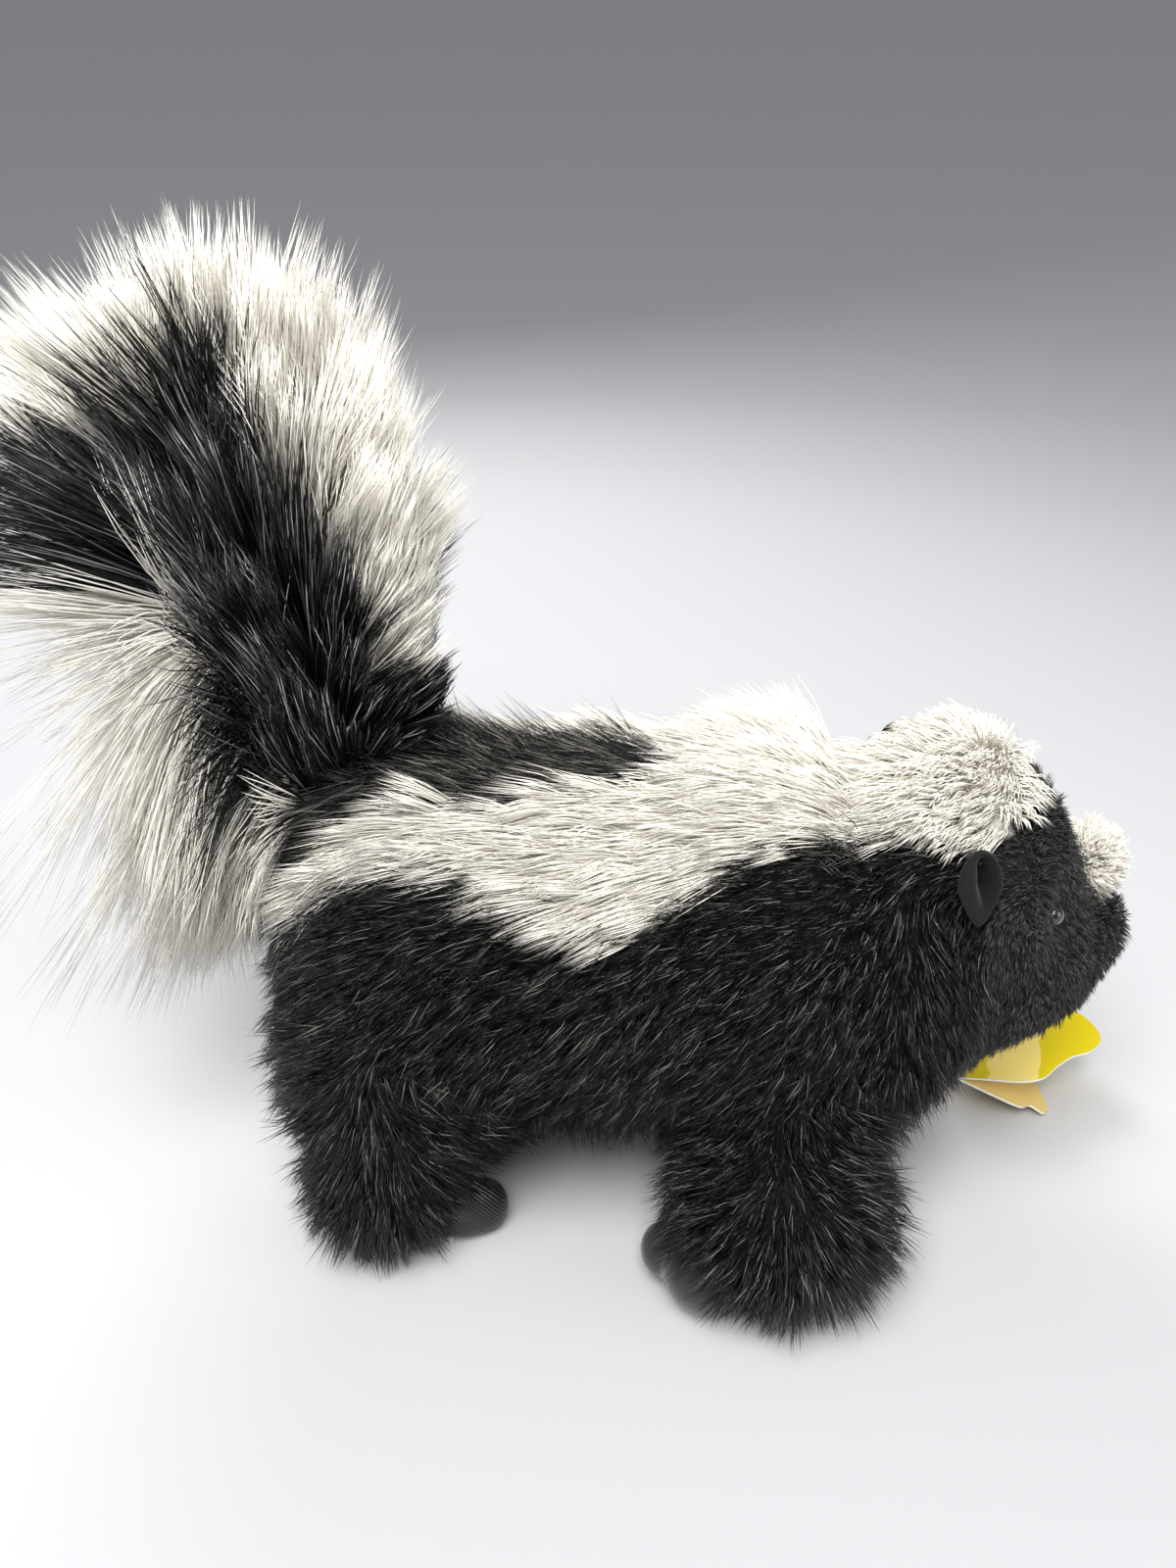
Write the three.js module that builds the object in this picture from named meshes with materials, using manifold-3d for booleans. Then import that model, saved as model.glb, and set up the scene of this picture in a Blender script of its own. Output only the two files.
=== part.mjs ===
// A plush toy skunk, standing low on four splayed legs with its plume of a tail up.
// X runs from tail to nose, Y to the toy's left, Z up from the surface that it stands on.
// Every solid is the outer shape of its pile. All sizes are in millimetres.
import * as THREE from "three";
import { mergeVertices } from "three/addons/utils/BufferGeometryUtils.js";
import Module from "manifold-3d";

const wasm = await Module();
wasm.setup();

// Air left between sewn parts that touch
const GAP = 0.3;

// The middle of the toy's length and breadth, from the point under the middle of its trunk
const MIDDLE = { x: 4.7, y: 0 };

// The trunk's stuffed forms, rump to nose: middle, half sizes
const FORMS = [
  { at: [-38, 0, 77], half: [52, 56, 60] },
  { at: [4, 0, 76], half: [60, 58, 58] },
  { at: [46, 0, 76], half: [50, 58, 60] },
  { at: [82, 0, 72], half: [30, 50, 55] },
  { at: [100, 0, 92], half: [32, 43, 43] },
  { at: [106, 0, 78], half: [30, 40, 27] },
  { at: [124, 0, 67], half: [17, 24, 15] },
  { at: [134, 0, 78], half: [18, 17, 14] },
];
// How softly one form runs into the next
const BLEND = 5;
// The line along the middle of the trunk: its height at the rump, the neck and the nose
const SPINE = [[-95, 72], [60, 78], [110, 82], [160, 74]];

// Where the neck is sewn to the body and the head to the neck: place on the spine, lean back
const NECK_SEAM = { x: 62, lean: 0 };
const HEAD_SEAM = { x: 92, lean: 0.15 };

// The white fur: how deep it is let into the black, how far it stands proud
const PILE_IN = 6;
const PILE_OUT = 1.5;
// Half the trunk's width, near enough
const TRUNK_RADIUS = 50;

const BLACK = new THREE.Color(0.012, 0.012, 0.013);
const WHITE = new THREE.Color(0.83, 0.79, 0.68);

const skunk = new THREE.Group();

function point(x, y, z) {
  return new THREE.Vector3(x, y, z);
}

// A closed solid from a geometry, its shared corners merged
function solid(geometry) {
  const bare = geometry.clone();
  bare.deleteAttribute("normal");
  bare.deleteAttribute("uv");
  const merged = mergeVertices(bare, 1e-4);
  const vertProperties = new Float32Array(merged.attributes.position.array);
  const triVerts = new Uint32Array(merged.index.array);
  return new wasm.Manifold(new wasm.Mesh({ numProp: 3, vertProperties, triVerts }));
}

// Moves every corner of a geometry to where the rule says
function moved(geometry, rule) {
  const places = geometry.attributes.position;
  const corner = new THREE.Vector3();
  for (let i = 0; i < places.count; i += 1) {
    const place = rule(corner.fromBufferAttribute(places, i).clone());
    places.setXYZ(i, place.x, place.y, place.z);
  }
  return geometry;
}

function joined(pieces) {
  return pieces.reduce((whole, piece) => whole.add(piece));
}

// A shape swollen by the gap all round, to cut its neighbours clear with
function swollen(shape) {
  const step = GAP * Math.sqrt(3);
  const steps = [[step, 0, 0], [-step, 0, 0], [0, step, 0], [0, -step, 0], [0, 0, step], [0, 0, -step]];
  return joined([shape, ...steps.map((shift) => shape.translate(shift))]);
}

// The largest closed surface of a shape, without scraps or sealed hollows
function largest(shape) {
  const sizes = shape.decompose().map((piece) => ({ piece, size: Math.abs(piece.volume()) }));
  sizes.sort((a, b) => b.size - a.size);
  return sizes[0].piece;
}

// The finest detail that a piece keeps
const CRUMB = 0.08;

// The room that the pieces made so far take up, with the gap round it
const taken = [];

// Makes a piece of the toy, cut clear of the room that is taken
function place(name, shape, color, roughness) {
  const cleared = taken.reduce((rest, room) => rest.subtract(room), shape);
  const mesh = largest(cleared.simplify(CRUMB)).getMesh();
  const geometry = new THREE.BufferGeometry();
  geometry.setAttribute("position", new THREE.BufferAttribute(mesh.vertProperties, 3));
  geometry.setIndex(new THREE.BufferAttribute(mesh.triVerts, 1));
  geometry.computeVertexNormals();
  const material = new THREE.MeshStandardMaterial({ color, roughness, metalness: 0 });
  const piece = new THREE.Mesh(geometry, material);
  piece.name = name;
  skunk.add(piece);
}

// Distance from one egg-shaped form, less than nought inside it
function fromForm(form, x, y, z) {
  const [a, b, c] = form.half;
  const [dx, dy, dz] = [x - form.at[0], y - form.at[1], z - form.at[2]];
  const reach = Math.hypot(dx / a, dy / b, dz / c);
  const slope = Math.hypot(dx / (a * a), dy / (b * b), dz / (c * c));
  return slope < 1e-9 ? -Math.min(a, b, c) : (reach * (reach - 1)) / slope;
}

// Distance from all the forms, run softly together
function fromForms(forms, blend, x, y, z) {
  let sum = 0;
  for (const form of forms) {
    sum += Math.exp(-fromForm(form, x, y, z) / blend);
  }
  return -blend * Math.log(sum);
}

// How far out the surface lies from a place inside it, along a direction
function reachOf(distance, from, along) {
  let inner = 0;
  let outer = 1;
  while (distance(from.x + along.x * outer, from.y + along.y * outer, from.z + along.z * outer) < 0) {
    inner = outer;
    outer += 4;
  }
  for (let step = 0; step < 24; step += 1) {
    const middle = (inner + outer) / 2;
    const [x, y, z] = [from.x + along.x * middle, from.y + along.y * middle, from.z + along.z * middle];
    if (distance(x, y, z) < 0) {
      inner = middle;
    } else {
      outer = middle;
    }
  }
  return outer;
}

// The direction straight out of a surface at a place on it
function outward(distance, { x, y, z }) {
  const step = 0.05;
  const here = distance(x, y, z);
  return point(
    distance(x + step, y, z) - here,
    distance(x, y + step, z) - here,
    distance(x, y, z + step) - here,
  ).normalize();
}

// The trunk: the pile over body, neck and head, as rings round its spine
const trunkDistance = (x, y, z) => fromForms(FORMS, BLEND, x, y, z);
const spineCurve = new THREE.CatmullRomCurve3(SPINE.map(([x, z]) => point(x, 0, z)));
const spineHeights = spineCurve.getSpacedPoints(60);

function spineAt(x) {
  const last = spineHeights.length - 1;
  let i = 1;
  while (i < last && spineHeights[i].x < x) {
    i += 1;
  }
  const [a, b] = [spineHeights[i - 1], spineHeights[i]];
  const share = THREE.MathUtils.clamp((x - a.x) / (b.x - a.x), 0, 1);
  return point(x, 0, a.z + (b.z - a.z) * share);
}

// Rump end and nose end of the pile, on the spine
const HEART = spineAt(0);
const RUMP_X = -reachOf(trunkDistance, HEART, point(-1, 0, 0));
const NOSE_X = reachOf(trunkDistance, HEART, point(1, 0, 0));

// A place on the trunk: turn is measured from the top round to the toy's right
function onTrunk(x, turn, out) {
  const from = spineAt(x);
  const along = point(0, -Math.sin(turn), Math.cos(turn));
  const inside = trunkDistance(from.x, from.y, from.z) < 0;
  const on = from.addScaledVector(along, inside ? reachOf(trunkDistance, from, along) : 0);
  return on.addScaledVector(outward(trunkDistance, on), out);
}

function trunk(out) {
  const half = (NOSE_X - RUMP_X) / 2;
  const middle = (NOSE_X + RUMP_X) / 2;
  return solid(moved(new THREE.SphereGeometry(1, 28, 36), (corner) => {
    const x = middle + half * corner.y;
    const atTip = Math.hypot(corner.x, corner.z) < 1e-6;
    return atTip ? spineAt(x + Math.sign(corner.y) * out) : onTrunk(x, Math.atan2(corner.x, corner.z), out);
  }));
}

// A stuffed piece: a ball of even triangles pushed out from its middle to its pile
function stuffed(heart, distance, detail) {
  return solid(moved(new THREE.IcosahedronGeometry(1, detail), (corner) => {
    const along = corner.normalize();
    return heart.clone().addScaledVector(along, reachOf(distance, heart, along));
  }));
}

// A seeded draw, the same at every build
let drawn = 11;
function draw(low, high) {
  drawn = (drawn * 1664525 + 1013904223) % 4294967296;
  return low + ((high - low) * drawn) / 4294967296;
}

// A lock of long pile, flat and tapered: it leaves its root outward and bends over to lie along the coat
const LOCK = { sides: 3, rows: 3 };

function lock(root, over, tip, out, width, thick) {
  const path = new THREE.QuadraticBezierCurve3(root, over, tip);
  const side = tip.clone().sub(root).cross(out).normalize();
  return solid(moved(new THREE.ConeGeometry(1, 1, LOCK.sides, LOCK.rows), (corner) => {
    const along = corner.y + 0.5;
    const girth = along > 0.999 ? 0 : (1 - along ** 2.5) * (0.8 + along / 2);
    const around = Math.atan2(corner.x, corner.z);
    const up = side.clone().cross(path.getTangent(along)).normalize();
    return path
      .getPoint(along)
      .addScaledVector(side, (Math.sin(around) * girth * width) / 2)
      .addScaledVector(up, (Math.cos(around) * girth * thick) / 2);
  }));
}

// The white panels lie between two edges on the coat: place along the toy, turns from the top in degrees
const CREST = { from: 86, to: 117, low: [[86, 36], [96, 45], [106, 34], [117, 12]] };
const MANTLE = { from: 36, to: 85.1, low: [[36, 52], [58, 40], [85.1, 33]] };
const STRIPE = {
  from: -74,
  to: 35.1,
  high: [[-74, 34], [-40, 26], [0, 21], [22, 14], [35.1, 1.5]],
  low: [[-74, 52], [-42, 42], [-20, 50], [0, 61], [14, 62], [35.1, 50]],
};

// A value read off a list of places, smooth between them
function between(list, x) {
  const curve = new THREE.SplineCurve(list.map(([at, value]) => new THREE.Vector2(at, value)));
  const path = curve.getPoints(48);
  let i = 1;
  while (i < path.length - 1 && path[i].x < x) {
    i += 1;
  }
  const share = THREE.MathUtils.clamp((x - path[i - 1].x) / (path[i].x - path[i - 1].x), 0, 1);
  return path[i - 1].y + (path[i].y - path[i - 1].y) * share;
}

// A panel of white pile let into the coat, between its two edges
function panel(span, edges, along, across, grow) {
  const box = new THREE.BoxGeometry(1, 1, 1, along, across, 1);
  return solid(moved(box, (corner) => {
    const x = THREE.MathUtils.lerp(span.from - grow, span.to + grow, corner.x + 0.5);
    const [low, high] = edges(x);
    const edge = THREE.MathUtils.degToRad(THREE.MathUtils.lerp(high, low, 0.5 - corner.y));
    const turn = edge - Math.sign(corner.y) * (grow / TRUNK_RADIUS);
    return onTrunk(x, turn, corner.z > 0 ? PILE_OUT + grow : -PILE_IN - grow);
  }));
}

const crestEdges = (x) => [between(CREST.low, x), -between(CREST.low, x)];
const mantleEdges = (x) => [between(MANTLE.low, x), -between(MANTLE.low, x)];
const rightEdges = (x) => [between(STRIPE.low, x), between(STRIPE.high, x)];
const leftEdges = (x) => [-between(STRIPE.high, x), -between(STRIPE.low, x)];

// The long white locks on a panel, in staggered rows: how many, how long and wide, how far the tips stand out
const CREST_LOCKS = { rows: 3, across: 4, length: 20, width: 14, thick: 3.2, stand: 6, droop: 8 };
const MANTLE_LOCKS = { rows: 4, across: 4, length: 28, width: 19, thick: 3.2, stand: 4, droop: 9 };
const STRIPE_LOCKS = { rows: 5, across: 2, length: 36, width: 19, thick: 3.2, stand: 4, droop: 3 };

function locksOver(span, edges, locks) {
  const pieces = [];
  for (let row = 0; row < locks.rows; row += 1) {
    for (let i = 0; i < locks.across; i += 1) {
      const x = THREE.MathUtils.lerp(span.from + 6, span.to - 3, (row + 0.5) / locks.rows) + draw(-2, 2);
      const [low, high] = edges(x);
      const share = (i + 0.3 + 0.4 * (row % 2) + draw(-0.1, 0.1)) / locks.across;
      const turn = THREE.MathUtils.lerp(high, low, share);
      const droop = Math.sign(turn) * locks.droop * Math.min(Math.abs(turn) / 30, 1) + draw(-4, 4);
      const length = locks.length * draw(0.85, 1.15);
      const [start, end] = [turn, turn + droop].map((angle) => THREE.MathUtils.degToRad(angle));
      const root = onTrunk(x, start, -3);
      const over = onTrunk(x - length * 0.45, (start + end) / 2, locks.stand * 1.6);
      const tip = onTrunk(x - length, end, locks.stand * draw(0.6, 1.1));
      const out = outward(trunkDistance, root);
      pieces.push(lock(root, over, tip, out, locks.width * draw(0.85, 1.15), locks.thick));
    }
  }
  return joined(pieces);
}

const clear = trunk(2.2 * GAP);
const PANELS = [
  ["crest", (grow) => panel(CREST, crestEdges, 6, 10, grow), locksOver(CREST, crestEdges, CREST_LOCKS)],
  ["mantle", (grow) => panel(MANTLE, mantleEdges, 8, 10, grow), locksOver(MANTLE, mantleEdges, MANTLE_LOCKS)],
  ["stripe_right", (grow) => panel(STRIPE, rightEdges, 14, 4, grow), locksOver(STRIPE, rightEdges, STRIPE_LOCKS)],
  ["stripe_left", (grow) => panel(STRIPE, leftEdges, 14, 4, grow), locksOver(STRIPE, leftEdges, STRIPE_LOCKS)],
];

for (const [name, make, locks] of PANELS) {
  const above = locks.subtract(clear);
  place(name, make(0).add(above), WHITE, 0.85);
  taken.push(make(2 * GAP));
  taken.push(swollen(above).simplify(CRUMB));
}

// The trunk parted by the seams into body, neck and head
function parted(shape, seam, side) {
  const face = point(1, 0, seam.lean).normalize();
  const offset = face.dot(spineAt(seam.x));
  const away = face.multiplyScalar(side);
  return shape.trimByPlane(away.toArray(), side * offset + GAP / 2);
}

const coat = trunk(0);
place("body", parted(coat, NECK_SEAM, -1), BLACK, 0.9);
place("neck", parted(parted(coat, NECK_SEAM, 1), HEAD_SEAM, -1), BLACK, 0.9);
place("head", parted(coat, HEAD_SEAM, 1), BLACK, 0.95);
taken.push(trunk(GAP));

// Legs: thick stuffed rolls, splayed, flat where they stand; right side, mirrored to the left
const FRONT_LEG = [
  { at: [52, -32, 38], half: [32, 30, 33] },
  { at: [50, -57, 24], half: [31, 27, 26] },
];
const HIND_LEG = [
  { at: [-50, -26, 52], half: [36, 34, 40] },
  { at: [-55, -37, 20], half: [23, 25, 24] },
];
// Feet: smooth lobed paws that come out of the pile
const FRONT_PAW = [
  { at: [31, -64, 12], half: [11.5, 11, 12] },
  { at: [20, -56, 10], half: [6, 7, 7] },
];
const HIND_PAW = [
  { at: [-35, -40, 7.5], half: [8, 7.5, 7.5] },
  { at: [-29, -38, 7], half: [6.5, 7, 7] },
];

function mirrored(forms) {
  return forms.map(({ at, half }) => ({ at: [at[0], -at[1], at[2]], half }));
}

function limb(forms, detail) {
  const distance = (x, y, z) => fromForms(forms, 4, x, y, z);
  const heart = point(0, 0, 0);
  for (const form of forms) {
    heart.add(point(...form.at).divideScalar(forms.length));
  }
  return stuffed(heart, distance, detail);
}

// Cut off level with the surface that the toy stands on
function standing(shape) {
  return shape.trimByPlane([0, 0, 1], 0);
}

for (const [side, turn] of [["right", (forms) => forms], ["left", mirrored]]) {
  for (const [end, legForms, pawForms] of [["front", FRONT_LEG, FRONT_PAW], ["hind", HIND_LEG, HIND_PAW]]) {
    const leg = limb(turn(legForms), 4);
    const paw = limb(turn(pawForms), 2);
    place(`${end}_leg_${side}`, standing(leg), BLACK, 0.9);
    taken.push(swollen(leg));
    place(`${end}_paw_${side}`, standing(paw), BLACK, 0.7);
    taken.push(swollen(paw));
  }
}

// Ears: small felt cups on the sides of the head, leaning in with it
const EAR = { at: [92.5, 40.5, 114.5], half: [5.8, 5.5, 10.3], lean: 11 };
// The left ear is sewn on a little lower
const EAR_DROP = { right: 0, left: 4 };
const EAR_CUP = { in: 3.2, half: [3.6, 3.6, 7.5] };

for (const [side, sign] of [["right", -1], ["left", 1]]) {
  const ear = moved(new THREE.SphereGeometry(1, 12, 8), (corner) => {
    const [a, b, c] = EAR.half;
    return point(corner.x * a, corner.y * b, corner.z * c);
  });
  const cup = moved(new THREE.SphereGeometry(1, 10, 6), (corner) => {
    const [a, b, c] = EAR_CUP.half;
    return point(corner.x * a + EAR_CUP.in, corner.y * b + sign * EAR_CUP.in, corner.z * c);
  });
  const shape = solid(ear).subtract(solid(cup));
  const [x, y, z] = EAR.at;
  const leaning = shape.rotate([sign * EAR.lean, 0, 0]);
  place(`ear_${side}`, leaning.translate([x, sign * y, z - EAR_DROP[side]]), BLACK, 0.95);
}

// Eyes: small glossy beads pressed into the pile, on the trunk at this place and turn
const EYE = { x: 113.2, turn: 63, radius: 3, sunk: 0.5 };
for (const [side, sign] of [["right", 1], ["left", -1]]) {
  const middle = onTrunk(EYE.x, sign * THREE.MathUtils.degToRad(EYE.turn), -EYE.sunk);
  const bead = new THREE.SphereGeometry(EYE.radius, 10, 7).translate(middle.x, middle.y, middle.z);
  place(`eye_${side}`, solid(bead), BLACK, 0.1);
}

// The tuft of white pile on the bridge of the nose
const TUFT = { at: [136.5, 0, 97], half: [9, 8, 12] };
const tuft = stuffed(point(...TUFT.at), (x, y, z) => fromForm(TUFT, x, y, z), 3);
place("nose_tuft", tuft, WHITE, 0.85);

// The tail: a core that rises from the rump, and the outline that its long pile reaches
const TAIL_CORE = [
  { at: [-87, 16, 196], half: [29, 21, 33] },
  { at: [-80, 12, 158], half: [31, 21, 38] },
  { at: [-68, 7, 122], half: [28, 21, 36] },
];
const TAIL_OUTLINE = [
  { at: [-94, 14, 190], half: [57, 44, 68] },
  { at: [-104, 12, 150], half: [50, 42, 58] },
  { at: [-106, 8, 108], half: [37, 36, 50] },
  { at: [-70, 6, 140], half: [34, 32, 44] },
];
const TAIL_HEART = point(-81, 12, 160);
const coreDistance = (x, y, z) => fromForms(TAIL_CORE, 5, x, y, z);
const plumeDistance = (x, y, z) => fromForms(TAIL_OUTLINE, 6, x, y, z);
const core = stuffed(TAIL_HEART, coreDistance, 5);

// The black middle of the tail: a leaf shape about its axis, through from side to side
const LEAF = [[-48, 86], [-55, 120], [-62, 150], [-71, 182], [-80, 203], [-88, 209], [-96, 200], [-101, 180],
  [-100, 150], [-95, 120], [-94, 86]];
const leafCorners = LEAF.map(([x, z]) => new THREE.Vector2(x, z));
const leafOutline = new THREE.Shape();
leafOutline.moveTo(leafCorners[0].x, leafCorners[0].y);
leafOutline.splineThru([...leafCorners.slice(1), leafCorners[0]]);
const slab = new THREE.ExtrudeGeometry(leafOutline, { depth: 200, bevelEnabled: false, curveSegments: 3 });
slab.rotateX(Math.PI / 2);
slab.translate(0, 100, 0);
const leaf = solid(slab);

// A lock of the tail, from the core along a lie to the outline or to its longest
const TAIL_LOCK = { thick: 5, sunk: 6 };

function tailLock(toward, lie, width, longest) {
  const facing = point(0, toward.y < 0 ? -1 : 1, 0);
  const root = TAIL_HEART.clone().addScaledVector(toward, reachOf(coreDistance, TAIL_HEART, toward));
  const out = outward(coreDistance, root);
  const along = lie.clone().normalize();
  const reach = Math.min(reachOf(plumeDistance, root, along), longest) * draw(0.96, 1.1);
  const tip = root.clone().addScaledVector(along, reach);
  const over = root.clone().addScaledVector(out, reach * 0.35).addScaledVector(along, reach * 0.25);
  const from = root.clone().addScaledVector(out, -TAIL_LOCK.sunk);
  return lock(from, over, tip, out.add(facing), width * draw(0.85, 1.15), TAIL_LOCK.thick);
}

// The white locks stand round the rim from the front over the top to the rump, up, out and down
const FRINGE = { steps: 15, from: -108, to: 176, layers: [-56, -18, 18, 56], width: 22, longest: 80 };

function fringeLie(root, round, side) {
  const rise = 1.3 * Math.max(-Math.sin(round), 0) + (root.z - 160) / 200 + draw(-0.12, 0.12);
  return point(-Math.sin(round) - 0.1, 0.45 * Math.sin(side), Math.cos(round) + rise);
}

const fringeLocks = [];
for (let step = 0; step < FRINGE.steps; step += 1) {
  for (const layer of FRINGE.layers) {
    const along = THREE.MathUtils.lerp(FRINGE.from, FRINGE.to, (step + (layer > 0 ? 0.5 : 0)) / FRINGE.steps);
    const round = THREE.MathUtils.degToRad(along);
    const side = THREE.MathUtils.degToRad(layer + draw(-6, 6));
    const toward = point(-Math.sin(round) * 31, 0, Math.cos(round) * 67).normalize();
    toward.multiplyScalar(Math.cos(side)).add(point(0, Math.sin(side), 0));
    const root = TAIL_HEART.clone().addScaledVector(toward, reachOf(coreDistance, TAIL_HEART, toward));
    if (trunkDistance(root.x, root.y, root.z) > 6) {
      fringeLocks.push(tailLock(toward, fringeLie(root, round, side), FRINGE.width, FRINGE.longest));
    }
  }
}

// The black locks lie up the tail on its two sides, inside the white
const MIDDLE_LOCKS = { rows: 4, width: 18, longest: 42, low: 127, high: 189 };

const middleLocks = [];
for (let row = 0; row < MIDDLE_LOCKS.rows; row += 1) {
  for (const side of [-1, 1]) {
    for (const half of [-1, 1]) {
      const z = THREE.MathUtils.lerp(MIDDLE_LOCKS.low, MIDDLE_LOCKS.high, row / (MIDDLE_LOCKS.rows - 1));
      const x = -75 - (z - 118) * 0.13 + half * 6 + draw(-2, 2);
      const toward = point(x - TAIL_HEART.x, side * 20, z + half * 4 - TAIL_HEART.z).normalize();
      middleLocks.push(tailLock(toward, point(-0.2, 0.5 * side, 0.9), MIDDLE_LOCKS.width, MIDDLE_LOCKS.longest));
    }
  }
}

// Where the tail's base ends and its plume begins
const TAIL_PART = 122;
const fringe = joined([core, ...fringeLocks]).subtract(swollen(leaf));
const middle = core.intersect(leaf);
const base = middle.trimByPlane([0, 0, -1], -TAIL_PART + GAP / 2);
const upper = joined([middle, ...middleLocks]).intersect(leaf).trimByPlane([0, 0, 1], TAIL_PART + GAP / 2);
place("tail_fringe", fringe, WHITE, 0.85);
place("tail_lower", base, BLACK, 0.9);
place("tail_upper", upper, BLACK, 0.9);

// The hang tag: a card folded once, its upper leaf level, its lower leaf drooping to the surface
const CARD = 0.7;
const TAG_FOLD = { x: 113, y: 2, z: 17, drop: 27 };
const UPPER_LEAF = [[0.4, 0], [14, -3], [28, -2], [40, 4], [49, 12], [51, 22], [47, 31], [36, 36], [16, 38], [0.4, 36]];
const LOWER_LEAF = [[0.4, 0], [14, -1], [24, -1], [29, 2], [34, 1], [37, 6], [36, 18], [34, 30], [16, 36], [0.4, 36]];

function leafOfCard(outline, droop) {
  const corners = outline.map(([along, across]) => new THREE.Vector2(along, across));
  const shape = new THREE.Shape();
  shape.moveTo(corners[0].x, corners[0].y);
  shape.splineThru(corners.slice(1));
  const card = new THREE.ExtrudeGeometry(shape, { depth: CARD, bevelEnabled: false, curveSegments: 4 });
  card.rotateY(THREE.MathUtils.degToRad(droop));
  card.translate(TAG_FOLD.x, TAG_FOLD.y, TAG_FOLD.z);
  return solid(card);
}

const YELLOW = new THREE.Color(0.85, 0.68, 0.02);
const CREAM = new THREE.Color(0.9, 0.78, 0.42);
const upperLeaf = leafOfCard(UPPER_LEAF, 0);
place("tag_upper_leaf", upperLeaf, YELLOW, 0.5);
taken.push(swollen(upperLeaf));
place("tag_lower_leaf", leafOfCard(LOWER_LEAF, TAG_FOLD.drop), CREAM, 0.6);

// The loop that the tag hangs by, from the pile of the chest to the corner by the fold
const LOOP = { thick: 0.9, from: [101, 10, 24], to: [116, 10, 17.2] };
const loopRise = point(...LOOP.to).sub(point(...LOOP.from));
const loop = new THREE.CylinderGeometry(LOOP.thick, LOOP.thick, loopRise.length(), 8);
loop.applyQuaternion(new THREE.Quaternion().setFromUnitVectors(point(0, 1, 0), loopRise.clone().normalize()));
loop.translate(...point(...LOOP.from).addScaledVector(loopRise, 0.5).toArray());
place("tag_loop", solid(loop), WHITE, 0.6);

// The origin is under the middle of the whole toy
skunk.position.set(-MIDDLE.x, -MIDDLE.y, 0);

export default skunk;
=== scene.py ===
import math

import bmesh
import bpy
import numpy as np
from mathutils import Matrix, Vector
from mathutils.kdtree import KDTree


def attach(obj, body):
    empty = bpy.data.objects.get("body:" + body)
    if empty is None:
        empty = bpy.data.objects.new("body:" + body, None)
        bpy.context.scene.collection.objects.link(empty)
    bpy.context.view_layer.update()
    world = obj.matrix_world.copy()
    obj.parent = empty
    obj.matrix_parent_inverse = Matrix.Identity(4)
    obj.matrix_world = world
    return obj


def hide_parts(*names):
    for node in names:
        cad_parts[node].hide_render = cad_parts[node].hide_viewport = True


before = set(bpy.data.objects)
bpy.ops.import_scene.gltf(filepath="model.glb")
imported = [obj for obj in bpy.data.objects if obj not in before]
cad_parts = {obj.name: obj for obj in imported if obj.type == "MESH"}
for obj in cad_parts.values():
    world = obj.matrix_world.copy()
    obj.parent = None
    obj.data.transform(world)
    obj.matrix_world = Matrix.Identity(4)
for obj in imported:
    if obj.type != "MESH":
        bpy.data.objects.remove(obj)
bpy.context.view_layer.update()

# The camera
# A phone held close over the toy, looking down at its right side with a wide lens.
camera = bpy.data.objects.new("camera", bpy.data.cameras.new("camera"))
camera.data.sensor_fit = "VERTICAL"
camera.data.sensor_height = 36
camera.data.lens = 27
camera.data.clip_start = 0.01
camera.location = (-0.0047, -0.275, 0.267)
camera.rotation_euler = (math.radians(62), 0, 0)
bpy.context.scene.collection.objects.link(camera)
bpy.context.scene.camera = camera


# The sewn skin
# One stuffed cloth skin under all the pile: trunk, legs and the core of the tail, run softly together.
# Each form is an egg, its middle and half its sizes in millimetres from under the middle of the trunk.

# How far in front of that the frame's own middle lies
MIDDLE = 4.7
TRUNK = [
    ((-38, 0, 77), (52, 56, 60)),
    ((4, 0, 76), (60, 58, 58)),
    ((46, 0, 76), (50, 58, 60)),
    ((82, 0, 72), (30, 50, 55)),
    ((100, 0, 92), (32, 43, 43)),
    ((106, 0, 78), (30, 40, 27)),
    ((124, 0, 67), (17, 24, 15)),
    ((134, 0, 78), (18, 17, 14)),
]
FRONT_LEG = [((52, -32, 38), (32, 30, 33)), ((50, -57, 24), (31, 27, 26))]
HIND_LEG = [((-50, -26, 52), (36, 34, 40)), ((-55, -37, 20), (23, 25, 24))]
TAIL_CORE = [
    ((-87, 16, 196), (24, 17, 28)),
    ((-80, 12, 158), (25, 17, 38)),
    ((-66, 6, 118), (24, 18, 38)),
]
# Stuffing that swells the cheeks and draws the cloth in round the eyes: place, width, how far out
SWELLS = [
    ((107, -37.5, 111.5), 10, 5.0),
    ((104.5, -42, 99), 10, 4.6),
    ((115.5, -37, 104), 7, -4.6),
    ((123, -32, 95), 7, -2.6),
]
# The line inside the trunk that turns are measured round: places along the toy, and its heights there
SPINE = ([-95, 60, 110, 160], [72, 78, 82, 74])
# How softly eggs run together in the trunk, a leg and the tail, and how softly these three do
TRUNK_BLEND, LEG_BLEND, TAIL_BLEND, JOIN = 5, 4, 5, 4.0
# Depth of the pile over the trunk, how much shorter it is on the face, its depth on the legs, and the backing
BODY_PILE, FACE_SHORTER, LEG_PILE, BACKING = 7.5, 4.7, 6.5, 0.8


def eggs(forms, places, blend):
    total = np.zeros(len(places))
    for at, half in forms:
        away = places - np.array(at, float)
        half = np.array(half, float)
        reach = np.linalg.norm(away / half, axis=1)
        slope = np.linalg.norm(away / half**2, axis=1)
        apart = reach * (reach - 1) / np.maximum(slope, 1e-6)
        total += np.exp(np.clip(-apart / blend, -60, 60))
    return -blend * np.log(total)


def ease(low, high, value):
    share = np.clip((value - low) / (high - low), 0, 1)
    return share * share * (3 - 2 * share)


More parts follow.
